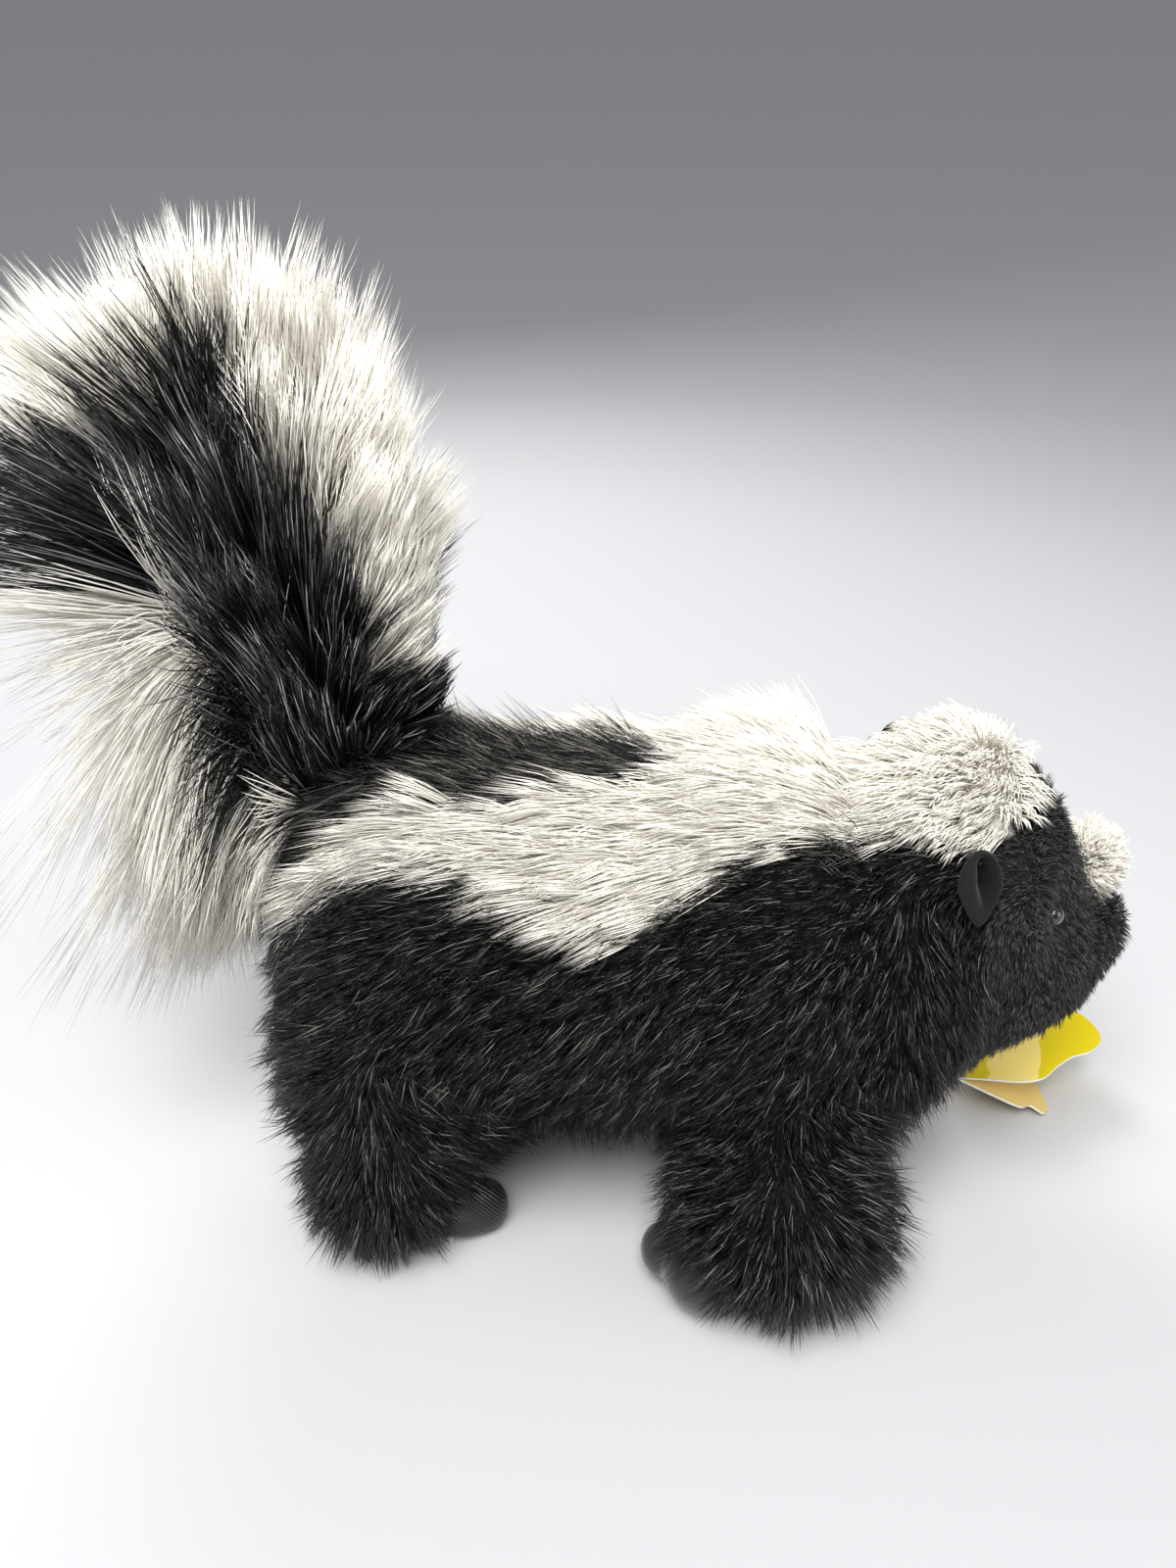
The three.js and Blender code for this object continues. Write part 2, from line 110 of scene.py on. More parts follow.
def both_sides(forms):
    return forms + [((at[0], -at[1], at[2]), half) for at, half in forms]


# How deep the pile stands over the cloth: short velvet on the face, longer over the body
def pile_depth(places):
    return BODY_PILE - FACE_SHORTER * ease(84, 102, places[:, 0])


def skin_distance(places):
    trunk = eggs(TRUNK, places, TRUNK_BLEND) + pile_depth(places)
    folded = np.stack([places[:, 0], -np.abs(places[:, 1]), places[:, 2]], 1)
    for at, width, out in SWELLS:
        trunk -= out * np.exp(-(((folded - np.array(at)) ** 2).sum(1)) / (2 * (width / 1.6) ** 2))
    front = eggs(both_sides(FRONT_LEG), places, LEG_BLEND) + LEG_PILE
    hind = eggs(both_sides(HIND_LEG), places, LEG_BLEND) + LEG_PILE
    tail = eggs(TAIL_CORE, places, TAIL_BLEND)
    return -JOIN * np.log(np.exp(-np.stack([trunk, front, hind, tail]) / JOIN).sum(0)) + BACKING


# Which way is straight out of a surface
def rise_of(distance, places):
    step = 0.2
    here = distance(places)
    slope = np.stack([distance(places + step * axis) - here for axis in np.eye(3)], axis=1)
    return slope / np.maximum(np.linalg.norm(slope, axis=1, keepdims=True), 1e-9)


def mesh_places(mesh):
    flat = np.empty(len(mesh.vertices) * 3, np.float32)
    mesh.vertices.foreach_get("co", flat)
    return flat.reshape(-1, 3).astype(float) * 1000 + np.array([MIDDLE, 0, 0])


def set_places(mesh, places):
    flat = (places - np.array([MIDDLE, 0, 0])) / 1000
    mesh.vertices.foreach_set("co", flat.astype(np.float32).ravel())
    mesh.update()


def link(name, mesh):
    thing = bpy.data.objects.new(name, mesh)
    bpy.context.scene.collection.objects.link(thing)
    return thing


def meshed(name, build):
    bmesh.ops.recalc_face_normals(build, faces=build.faces)
    mesh = bpy.data.meshes.new(name)
    build.to_mesh(mesh)
    build.free()
    mesh.polygons.foreach_set("use_smooth", np.ones(len(mesh.polygons), bool))
    return link(name, mesh)


# A stuffed piece: its eggs joined, remeshed into even faces, then drawn on to its own surface in a few goes.
# The eggs start a little small, in metres for each millimetre.
START_SIZE, DRAWS, DRAW = 0.00088, 6, 0.9


def stuffed(name, forms, distance, voxel, floor):
    build = bmesh.new()
    for at, half in forms:
        spot = Matrix.Translation((Vector(at) - Vector((MIDDLE, 0, 0))) / 1000)
        size = Matrix.Diagonal((Vector(half) * START_SIZE).to_4d())
        bmesh.ops.create_icosphere(build, subdivisions=4, radius=1, matrix=spot @ size)
    thing = meshed(name, build)
    remesh = thing.modifiers.new("remesh", "REMESH")
    remesh.mode, remesh.voxel_size = "VOXEL", voxel
    graph = bpy.context.evaluated_depsgraph_get()
    shape = bpy.data.meshes.new_from_object(thing.evaluated_get(graph))
    thing.modifiers.clear()
    old, thing.data = thing.data, shape
    bpy.data.meshes.remove(old)
    shape.name = name
    places = mesh_places(shape)
    for turn in range(DRAWS):
        places -= distance(places)[:, None] * rise_of(distance, places) * DRAW
    places[:, 2] = np.maximum(places[:, 2], floor)
    set_places(shape, places)
    shape.polygons.foreach_set("use_smooth", np.ones(len(shape.polygons), bool))
    return thing


flesh = TRUNK + both_sides(FRONT_LEG) + both_sides(HIND_LEG) + TAIL_CORE
SKIN_VOXEL, SOLE = 0.0024, 1.2
skin = stuffed("skin", flesh, skin_distance, SKIN_VOXEL, SOLE)

# The white panels: edges along the toy, as turns from the top of the back in degrees
CREST = ([84, 89, 94, 98, 102, 106, 109], [25, 33, 37, 39, 34, 28, 20])
MANTLE = ([34, 44, 60, 72, 86], [42, 38, 33, 28, 27])
STRIPE_HIGH = ([-66, -57, -43, -19, 4, 20, 34], [34, 28, 23, 21, 18, 12, 0])
STRIPE_LOW = ([-72, -58, -42, -22, -2, 14, 26, 40], [46, 41, 35, 42, 53, 57, 50, 43])
# Where these end along the toy
STRIPE_BACK, MANTLE_BACK, CREST_BACK, CREST_FRONT = -72, 34, 85, 109
# The middle line of the tail by height, where the tail starts and where it is white all round
TAIL_MIDDLE = ([118, 158, 196], [-66, -80, -87])
TAIL_FOOT, TAIL_CAP = 95, 215
# The two edges of the tail's black on its core, by height: it runs right out at the rump and in a fan behind
TAIL_LEFT = ([112, 122, 134, 150, 168, 172, 192, 196, 215], [2, -6, -10, -9, -6, -40, -40, -9, -3])
TAIL_RIGHT = ([132, 150, 175, 200, 215], [40, 20, 15, 11, 3])


def on_tail(places):
    nearer = eggs(TAIL_CORE, places, TAIL_BLEND) < eggs(TRUNK, places, TRUNK_BLEND) + 2
    return nearer & (places[:, 2] > TAIL_FOOT)


# Inside a white panel, with edges a little ragged
def is_white(places):
    x, y, z = places.T
    turn = np.degrees(np.abs(np.arctan2(-y, z - np.interp(x, *SPINE))))
    turn = turn + 1.6 * np.sin(x * 0.8 + y * 0.5) + 1.2 * np.sin(x * 2.1 - y * 1.3 + z)
    crest = (x > CREST_BACK) & (x < CREST_FRONT) & (turn < np.interp(x, *CREST))
    mantle = (x > MANTLE_BACK) & (x <= CREST_BACK) & (turn < np.interp(x, *MANTLE))
    stripe = (x > STRIPE_BACK) & (x <= MANTLE_BACK)
    stripe &= (turn > np.interp(x, *STRIPE_HIGH)) & (turn < np.interp(x, *STRIPE_LOW))
    across = x - np.interp(z, *TAIL_MIDDLE) + 1.5 * np.sin(z * 0.6 + y)
    fringe = (across < np.interp(z, *TAIL_LEFT)) | (across > np.interp(z, *TAIL_RIGHT)) | (z > TAIL_CAP)
    return np.where(on_tail(places), fringe, crest | mantle | stripe)


BLACK = np.array([0.0062, 0.0058, 0.0058])
WHITE = np.array([0.88, 0.845, 0.765])


def paint(mesh, colours):
    layer = mesh.color_attributes.new("marking_and_painted_light", "FLOAT_COLOR", "POINT")
    full = np.ones((len(mesh.vertices), 4), np.float32)
    full[:, :3] = colours
    layer.data.foreach_set("color", full.ravel())


paint(skin.data, np.where(is_white(mesh_places(skin.data))[:, None], WHITE, BLACK))


# Wraps a socket so that sums are written as sums
class Wire:
    def __init__(self, tree, end):
        self.tree, self.end = tree, end

    def math(self, kind, one, two):
        return node(self.tree, "ShaderNodeMath", {"operation": kind}, {0: one, 1: two})

    def __add__(self, other):
        return self.math("ADD", self, other)

    def __sub__(self, other):
        return self.math("SUBTRACT", self, other)

    def __rsub__(self, other):
        return self.math("SUBTRACT", other, self)

    def __mul__(self, other):
        return self.math("MULTIPLY", self, other)

    def __gt__(self, other):
        return self.math("GREATER_THAN", self, other)


def node(tree, kind, settings, inputs, out=0):
    made = tree.nodes.new(kind)
    for name, value in settings.items():
        setattr(made, name, value)
    for name, value in inputs.items():
        if isinstance(value, Wire):
            tree.links.new(value.end, made.inputs[name])
        else:
            made.inputs[name].default_value = value
    return Wire(tree, made.outputs[out])


def finish_of(name, **values):
    finish = bpy.data.materials.new(name)
    finish.use_nodes = True
    shader = finish.node_tree.nodes["Principled BSDF"]
    for socket, value in values.items():
        shader.inputs[socket.replace("_", " ")].default_value = value
    return finish, finish.node_tree, shader


def feed(shader, socket, wire):
    wire.tree.links.new(wire.end, shader.inputs[socket])


def marked(name, **values):
    finish, tree, shader = finish_of(name, **values)
    feed(shader, "Base Color", node(tree, "ShaderNodeAttribute", {"attribute_name": "marking_and_painted_light"}, {}))
    return finish


skin.data.materials.append(marked("backing_cloth", Roughness=0.8, Specular_IOR_Level=0.2))
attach(skin, "root")
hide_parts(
    "body", "neck", "head", "crest", "mantle", "stripe_right", "stripe_left", "front_leg_right",
    "front_leg_left", "hind_leg_right", "hind_leg_left", "tail_lower", "tail_upper", "tail_fringe",
)


# The black pile
# Short plush knitted into the skin, in tufts of fine closed spindles. It lies back and down on the flanks,
# down on the belly, to either side of each leg, and every few strands have a silvery tip: partly pale hair,
# partly painted glints of light.
rng = np.random.default_rng(20)
share = 1.0


def unit(vectors):
    return vectors / np.maximum(np.linalg.norm(vectors, axis=1, keepdims=True), 1e-9)


# Even random places on a piece, in millimetres
def rooted(thing, count, wanted):
    mesh = thing.data
    mesh.calc_loop_triangles()
    corners = np.empty(len(mesh.loop_triangles) * 3, np.int32)
    mesh.loop_triangles.foreach_get("vertices", corners)
    corners = mesh_places(mesh)[corners.reshape(-1, 3)]
    corners = corners[wanted(corners.mean(1))]
    area = np.linalg.norm(np.cross(corners[:, 1] - corners[:, 0], corners[:, 2] - corners[:, 0]), axis=1)
    chosen = corners[rng.choice(len(area), int(count * share), p=area / area.sum())]
    a, b = rng.random((2, len(chosen), 1))
    fold = a + b > 1
    a, b = np.where(fold, 1 - a, a), np.where(fold, 1 - b, b)
    return chosen[:, 0] + a * (chosen[:, 1] - chosen[:, 0]) + b * (chosen[:, 2] - chosen[:, 0])


# Which way the pile lies at a place
def lie_of(places):
    x, y, z = places.T
    side = np.sign(y)
    still = np.zeros_like(x)
    flank = np.stack([still - 1, side * 0.15, -0.6 * ease(122, 80, z)], 1)
    belly = np.stack([still + 0.12, side * 0.1, still - 1], 1)
    low = ease(62, 40, z)[:, None]
    lie = flank * (1 - low) + belly * low
    neck = (ease(66, 84, x) * ease(118, 100, z))[:, None]
    lie = lie * (1 - neck) + np.array([0.3, 0, -1.0]) * neck
    face = ease(98, 108, x)[:, None]
    lie = lie * (1 - face) + np.stack([still - 1, still, -0.5 * ease(60, 100, z)], 1) * face
    for forms in (FRONT_LEG, HIND_LEG):
        leg, trunk = eggs(both_sides(forms), places, LEG_BLEND), eggs(TRUNK, places, TRUNK_BLEND)
        near = ease(4, -3, leg - 0.5 * trunk + 2)[:, None]
        centre = np.array(forms[1][0], float)
        splay = np.stack([(x - centre[0]) / 22, side * 0.15, -0.75 - (centre[2] + 6 - z) / 60], 1)
        lie = lie * (1 - near) + splay * near
    return unit(lie)


# Where a root lies on the skin laid flat: along the toy and round it, or up the tail and round that
def chart_of(places):
    x, y, z = places.T
    tail = on_tail(places)
    round_trunk = np.arctan2(-y, z - np.interp(x, *SPINE)) / (2 * np.pi) + 0.5
    round_tail = np.arctan2(y - 12, x - np.interp(z, *TAIL_MIDDLE)) / (2 * np.pi) + 0.5
    across = np.where(tail, 0.66 + round_tail * 0.33, round_trunk * 0.62)
    return np.stack([np.where(tail, (z - 90) / 140, (x + 95) / 250), across], 1)


# Bends and tips for roots, drawn together in tufts that swing, stand and run out alike
def tufted(root, out, lie, length, height, loose, per_tuft, pull):
    count = len(root)
    heads = rng.choice(count, max(count // per_tuft, 1), replace=False)
    tree = KDTree(len(heads))
    for i, head in enumerate(heads):
        tree.insert(root[head], i)
    tree.balance()
    mine = np.array([tree.find(spot)[1] for spot in root])
    swing = rng.normal(0, loose, (len(heads), 3))[mine] + rng.normal(0, loose * 0.6, (count, 3))
    stand = height * (1 + rng.normal(0, 0.18, len(heads)))[mine] * (1 + rng.normal(0, 0.13, count))
    long = length * (1 + rng.normal(0, 0.1, len(heads)))[mine] * (1 + rng.normal(0, 0.12, count))
    flat = unit(unit(lie - out * (lie * out).sum(1, keepdims=True)) + swing)
    tip = root + flat * long[:, None] + out * stand[:, None]
    bend = root + out * (stand * 1.05)[:, None] + flat * (long * 0.3)[:, None]
    return bend, tip * (1 - pull) + tip[heads][mine] * pull


# Makes spindles from roots, bends and tips: points at both ends, rings of three between
def strands(name, finish, slot, root, bend, tip, out, width, base, end, steps):
    times = {2: [0, 0.45, 1], 3: [0, 0.32, 0.68, 1], 4: [0, 0.25, 0.5, 0.76, 1]}[steps]
    girth = {2: [0, 1, 0], 3: [0, 1, 0.8, 0], 4: [0, 1, 0.9, 0.65, 0]}[steps]
    path = [root * (1 - t) ** 2 + bend * (2 * t * (1 - t)) + tip * t * t for t in times]
    rows, tints, shifts = [], [], []
    for k, t in enumerate(times):
        tint = base + (end - base) * t**0.8
        if girth[k] == 0:
            rows.append(path[k][:, None])
            tints.append(tint[:, None])
            shifts.append(np.array([[0.5, t]]))
            continue
        along = unit(path[k + 1] - path[k - 1])
        side = unit(np.cross(along, out))
        lift = np.cross(side, along)
        half = (width * girth[k] / 2)[:, None]
        low = path[k] - lift * half * 0.45
        rows.append(np.stack([path[k] + lift * half * 0.9, low - side * half, low + side * half], 1))
        tints.append(np.repeat(tint[:, None], 3, 1))
        shifts.append(np.array([[0.5, t], [0, t], [1, t]]))
    spots = np.concatenate(rows, 1)
    spots[..., 2] = np.maximum(spots[..., 2], 0.4)
    count, each = spots.shape[:2]
    faces = []
    last = 1 + 3 * (steps - 2)
    for i, j in ((0, 1), (1, 2), (2, 0)):
        faces.append([0, 1 + j, 1 + i])
        for a in range(1, last, 3):
            faces += [[a + i, a + j, a + 3 + j], [a + i, a + 3 + j, a + 3 + i]]
        faces.append([last + i, last + j, each - 1])
    corners = (np.array(faces)[None] + each * np.arange(count)[:, None, None]).reshape(-1)
    mesh = bpy.data.meshes.new(name)
    mesh.vertices.add(count * each)
    mesh.loops.add(len(corners))
    mesh.loops.foreach_set("vertex_index", corners.astype(np.int32))
    mesh.polygons.add(len(corners) // 3)
    mesh.polygons.foreach_set("loop_start", np.arange(0, len(corners), 3, dtype=np.int32))
    mesh.polygons.foreach_set("use_smooth", np.ones(len(corners) // 3, bool))
    set_places(mesh, spots.reshape(-1, 3))
    mesh.update(calc_edges=True)
    paint(mesh, np.concatenate(tints, 1).reshape(-1, 3))
    chart = chart_of(root)
    chart = 0.002 + (chart - chart.min(0)) / np.maximum(np.ptp(chart, axis=0), 1e-6) * 0.993
    spread = chart[:, None] + np.concatenate(shifts)[None] * 0.003
    layer = mesh.uv_layers.new(name="OFBake")
    layer.data.foreach_set("uv", spread.reshape(-1, 2)[corners].astype(np.float32).ravel())
    mesh.materials.append(finish)
    thing = link(name, mesh)
    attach(thing, "root")


# Splits a coat into pieces of neighbouring strands, each under the limit for one piece
def coat(name, finish, slot, steps, root, *rest):
    limit = {2: 32500, 3: 16200, 4: 10900}[steps]
    order = np.argsort(root[:, 0] + root[:, 2] * 0.3)
    for i, pick in enumerate(np.array_split(order, math.ceil(len(root) / limit))):
        strands(f"{name}_{i + 1}", finish, slot, root[pick], *[value[pick] for value in rest], steps)


def is_face(places):
    return (places[:, 0] > 97) & ~is_white(places) & ~on_tail(places)


# Strands on the ridge of the back, legs and flanks: length, how far they stand and how many have silvery
# tips, partly pale hair and partly painted glints
BACK_LENGTH, FLANK_LENGTH = 18.0, 9.0
BACK_STAND, LEG_STAND, FLANK_STAND = 0.55, 1.0, 0.8
BACK_SILVER_GLINT, FLANK_SILVER_GLINT = 0.35, 0.19
SILVER_GLINT, GREY_FOOT = np.array([0.6, 0.57, 0.51]), np.array([0.07, 0.062, 0.052])
black_plush = marked("black_plush", Roughness=0.33, Specular_IOR_Level=0.3)
root = rooted(skin, 98000, lambda p: ~on_tail(p) & ~is_white(p) & ~is_face(p) & (p[:, 2] > 1.6))
out = rise_of(skin_distance, root)
count = len(root)
back = (np.abs(root[:, 1]) < 26) & (root[:, 2] > 112)
length = np.where(back, BACK_LENGTH, FLANK_LENGTH) * np.where(root[:, 0] > 84, 0.75, 1)
height = pile_depth(root) * np.where(back, BACK_STAND, np.where(root[:, 2] < 48, LEG_STAND, FLANK_STAND))
bend, tip = tufted(root, out, lie_of(root), length, height, 0.2, 7, 0.15)
# The silvery tips are painted light in part: they stand for glints on the black pile as well as for pale
# hair.
silver_glint = rng.random(count) < np.where(back, BACK_SILVER_GLINT, FLANK_SILVER_GLINT)
glint_strength = rng.uniform(0.25, 1, (count, 1)) ** 1.8
end = np.where(silver_glint[:, None], SILVER_GLINT * glint_strength, BLACK * 1.5)
base = np.where((silver_glint & back)[:, None], GREY_FOOT, BLACK)
width = rng.uniform(0.22, 0.34, count) * np.where(silver_glint, 0.55, 1)
coat("black_pile", black_plush, "black_pile", 2, root - out, bend, tip, out, width, base, end)


# The face
# Fine short velvet, deep black, brushed back from the nose, with a soft grey bloom where it turns away, and a
# painted glint on one strand tip in four.
# Bare spots that are kept for the eyes
EYE_SPOTS, SPOT_RADIUS = np.array([[113.2, -39.2, 101.4], [113.2, 39.2, 101.4]]), 2.6
# Colour of the painted glints on the velvet's strand tips
PAINTED_GLINT_TIP = np.array([0.2, 0.19, 0.17])


def off_eyes(places):
    return np.min([np.linalg.norm(places - spot, axis=1) for spot in EYE_SPOTS], axis=0) > SPOT_RADIUS


velvet = marked("velvet", Roughness=0.5, Specular_IOR_Level=0.25, Sheen_Weight=0.15, Sheen_Roughness=0.4)
root = rooted(skin, 32000, lambda p: is_face(p) & off_eyes(p))
out = rise_of(skin_distance, root)
count = len(root)
bend, tip = tufted(root, out, lie_of(root), np.full(count, 2.2), np.full(count, 2.7), 0.12, 6, 0.08)
# One strand in four gets a pale tip: a painted glint.
painted_glint = rng.random((count, 1)) < 0.25
end = np.where(painted_glint, PAINTED_GLINT_TIP * rng.uniform(0.3, 1, (count, 1)), BLACK * 3.4)
width = rng.uniform(0.18, 0.28, count)
base = np.tile(BLACK, (count, 1))
coat("face_velvet", velvet, "black_velour", 2, root - out, bend, tip, out, width, base, end)


# The white pile
# Crest, mantle and the two stripes are let in white plush, longer than the black. It lies back in locks and
# hangs a little over the black below, and the crest stands up over the brow.
white_plush = marked("white_plush", Roughness=0.55, Specular_IOR_Level=0.35)
root = rooted(skin, 27000, lambda p: is_white(p) & ~on_tail(p))
out = rise_of(skin_distance, root)
x, y, z = root.T
count = len(root)
crest = ease(82, 90, x)
lie = np.stack([np.full(count, -1.0), np.sign(y) * 0.2, -0.3 * ease(132, 104, z)], 1)
brow = np.stack([-0.7 + 0.9 * ease(100, 110, x), np.sign(y) * 0.5, -0.9 * ease(134, 120, z)], 1)
lie = lie * (1 - crest[:, None]) + brow * crest[:, None]
WHITE_LENGTH, CREST_SHORTER, WHITE_STAND, CREST_RISE = 20, 13.5, 0.62, 3.6
length = WHITE_LENGTH - CREST_SHORTER * crest
height = pile_depth(root) * WHITE_STAND + CREST_RISE * crest
bend, tip = tufted(root, out, unit(lie), length, height, 0.14, 16, 0.25)
shade = rng.uniform(0.9, 1.05, (count, 1))
width = rng.uniform(0.3, 0.46, count)
base, end = WHITE * shade, WHITE * 1.05 * shade
coat("white_pile", white_plush, "white_pile", 3, root - out, bend, tip, out, width, base, end)


# The plume
# The tail's hair is several times as long, black down its middle and white all round. It fans out from the
# core: up at the tip, out at the back, and hanging by the rump.

# The form that the tips reach, the longest a strand may be, and how far back and how high a tip may lie
TAIL_OUTLINE = [
    ((-94, 14, 190), (57, 44, 68)),
    ((-104, 12, 150), (50, 42, 58)),
    ((-106, 8, 108), (37, 36, 50)),
    ((-70, 6, 140), (34, 32, 44)),
]
LONGEST, FARTHEST_BACK, HIGHEST = 70, -171, 260
# Half the breadth of the core, and the height of its middle
CORE_HALF, CORE_HEIGHT = 25, 160


# How far it is from a root to the outline, found by halving
def reach_of(root, along):
    near, far = np.zeros(len(root)), np.full(len(root), 110.0)
    for turn in range(12):
        middle = (near + far) / 2
        inside = eggs(TAIL_OUTLINE, root + along * middle[:, None], 6) < 0
        near, far = np.where(inside, middle, near), np.where(inside, far, middle)
    return near


def plume_lie(root, out):
    x, y, z = root.T
    off = x - np.interp(z, *TAIL_MIDDLE)
    across, up = off / CORE_HALF, (z - CORE_HEIGHT) / 62
    away = np.maximum(np.hypot(across, up), 1e-6)
    across, up = across / away, up / away
    rise = 1.3 * np.maximum(across, 0) + (z - CORE_HEIGHT) / 170
    fan = np.stack([across - 0.1, 0.5 * out[:, 1], up + rise], 1)
    aside = -0.1 - 0.5 * ease(160, 185, z) * ease(6, -8, off)
    straight = np.stack([aside, 0.45 * out[:, 1], np.full(len(x), 0.8)], 1)
    mix = ease(0.3, 0.95, np.abs(off / CORE_HALF))[:, None]
    mix = np.maximum(mix, ease(196, 216, z)[:, None])
    lie = fan * mix + straight * (1 - mix)
    hanging = (ease(-3, -11, off) * ease(170, 156, z))[:, None]
    down = np.stack([np.full(len(x), -0.36), 0.5 * out[:, 1], np.full(len(x), -0.95)], 1)
    return unit(lie * (1 - hanging) + down * hanging)


root = rooted(skin, 19500, on_tail)
out = rise_of(skin_distance, root)
count = len(root)
along = plume_lie(root, out)
reach = np.minimum(reach_of(root, along), LONGEST) * 0.97
flat = along - out * (along * out).sum(1, keepdims=True)
height = reach * np.clip((along * out).sum(1), 0.1, 1)
tip = tufted(root, out, flat, reach * np.linalg.norm(flat, axis=1), height, 0.15, 30, 0.35)[1]
bend = root + out * 7 + along * (reach * 0.35)[:, None]
tip[:, 2] -= reach * 0.05
backward = (root[:, 0] - FARTHEST_BACK) / np.maximum(root[:, 0] - tip[:, 0], 1e-6)
upward = (HIGHEST - root[:, 2]) / np.maximum(tip[:, 2] - root[:, 2], 1e-6)
kept = np.minimum(np.clip(backward, 0.5, 1), np.clip(upward, 0.3, 1))
tip = root + (tip - root) * kept[:, None]
white = is_white(root)
shade = rng.uniform(0.86, 1.04, (count, 1))
# A few black plume strands get pale tips: partly pale hair, partly painted glints.
silver_glint = (rng.random((count, 1)) < 0.12) * rng.uniform(0.3, 1, (count, 1))
width = rng.uniform(0.32, 0.5, count)
base = np.where(white[:, None], WHITE * 0.95 * shade, BLACK)
end = np.where(white[:, None], WHITE * 1.05 * shade, BLACK * 1.5 + silver_glint * 0.4)
for name, finish, slot, own in (
    ("plume_white", white_plush, "white_pile", white),
    ("plume_black", black_plush, "black_pile", ~white),
):
    coat(name, finish, slot, 4, *[value[own] for value in (root - out, bend, tip, out, width, base, end)])


# The nose tuft
# A ball of white plush sewn on the bridge of the nose, its strands standing out all round.
TUFT = [((136.5, 0, 97), (5.5, 5, 7.5))]


def tuft_distance(places):
    return eggs(TUFT, places, 1)


tuft = stuffed("nose_tuft_ball", TUFT, tuft_distance, 0.0009, 0)
paint(tuft.data, np.tile(WHITE * 0.8, (len(tuft.data.vertices), 1)))
tuft.data.materials.append(white_plush)
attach(tuft, "root")
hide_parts("nose_tuft")
root = rooted(tuft, 4200, lambda p: eggs(TRUNK, p, TRUNK_BLEND) > -3)
out = rise_of(tuft_distance, root)
count = len(root)
lie = np.tile([0.3, 0.0, 1.0], (count, 1))
bend, tip = tufted(root, out, lie, np.full(count, 1.2), np.full(count, 4.6), 0.2, 12, 0.15)
shade = rng.uniform(0.92, 1.04, (count, 1))
width = rng.uniform(0.26, 0.38, count)
base, end = WHITE * shade, WHITE * 1.05 * shade
strands("nose_tuft_pile", white_plush, "white_pile", root - out, bend, tip, out, width, base, end, 3)


# The ears
# Small cups of black felt, round at the top and pointed below, with a deep pocket that opens outward. They
# are sewn to the sides of the head, the left one a little lower.
EAR_PLACE, EAR_TURN, EAR_LEAN = (92.3, 41.5, 115.2), 16, 11
EAR_DROP = {"right": 0, "left": 4}
# Half the width and thickness, heights over and under the middle, depth of the pocket
EAR_WIDE, EAR_THICK, EAR_UP, EAR_DOWN, POCKET = 5.7, 3.0, 9.4, 10.2, 5.6


def own_place(tree):
    return node(tree, "ShaderNodeTexCoord", {}, {}, "Object")


def noise(tree, place, scale, detail=2.0):
    return node(tree, "ShaderNodeTexNoise", {}, {"Vector": place, "Scale": scale, "Detail": detail})


# Two colours mixed: the numbers are the sockets that colours use on this node
def mixed(tree, share, one, two, blend="MIX"):
    kind = {"data_type": "RGBA", "blend_type": blend}
    return node(tree, "ShaderNodeMix", kind, {0: share, 6: one, 7: two}, 2)


def bumped(shader, height, strength, distance):
    depth = {"Strength": strength, "Distance": distance, "Height": height}
    feed(shader, "Normal", node(height.tree, "ShaderNodeBump", {}, depth))


felt, tree, shader = finish_of("black_felt", Roughness=0.9, Specular_IOR_Level=0.15, Sheen_Weight=0.08)
fuzz = noise(tree, own_place(tree), 1800.0, 3.0)
cloth = mixed(tree, fuzz, (0.004, 0.004, 0.004, 1), (0.017, 0.016, 0.015, 1))
# The felt's colour is darkened inside the pocket through an attribute: painted shade.
painted_pocket_shade = node(tree, "ShaderNodeAttribute", {"attribute_name": "marking_and_painted_light"}, {})
feed(shader, "Base Color", mixed(tree, 1.0, cloth, painted_pocket_shade, "MULTIPLY"))
bumped(shader, fuzz, 0.35, 0.0004)
for side, sign in (("right", -1), ("left", 1)):
    build = bmesh.new()
    pocket_shade_depths = []
    upright = Matrix.Rotation(math.pi / 2, 4, "X")
    bmesh.ops.create_uvsphere(build, u_segments=64, v_segments=48, radius=1, matrix=upright)
    for corner in build.verts:
        x, y, z = corner.co
        pocket = math.exp(-(((x - 0.22) / 0.4) ** 2)) * min(max((z + 0.85) / 0.9, 0), 1) ** 1.5
        pocket *= min(max((0.93 - math.hypot(x, z)) / 0.3, 0), 1)
        out = y * sign * EAR_THICK * (1 + 0.5 * x)
        pocket_shade_depths.append(pocket if out > 0 else 0)
        if out > 0:
            out -= POCKET * pocket
        taper = 1 - 0.58 * max(-z, 0)
        corner.co = Vector((x * EAR_WIDE * taper, out * sign, z * (EAR_DOWN if z < 0 else EAR_UP)))
    lean = Matrix.Rotation(math.radians(EAR_LEAN * sign), 4, "X")
    turn = Matrix.Rotation(math.radians(-EAR_TURN * sign), 4, "Z") @ lean
    spot = Vector((EAR_PLACE[0] - MIDDLE, EAR_PLACE[1] * sign, EAR_PLACE[2] - EAR_DROP[side]))
    place = Matrix.Scale(0.001, 4) @ Matrix.Translation(spot) @ turn
    bmesh.ops.transform(build, matrix=place, verts=build.verts)
    ear = meshed(f"felt_ear_{side}", build)
    # Painted shade: the felt is made darker the deeper a place lies in the pocket.
    paint(ear.data, np.tile(1.0 - 0.85 * np.array(pocket_shade_depths)[:, None], 3))
    ear.data.materials.append(felt)
    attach(ear, "root")
    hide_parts(f"ear_{side}")


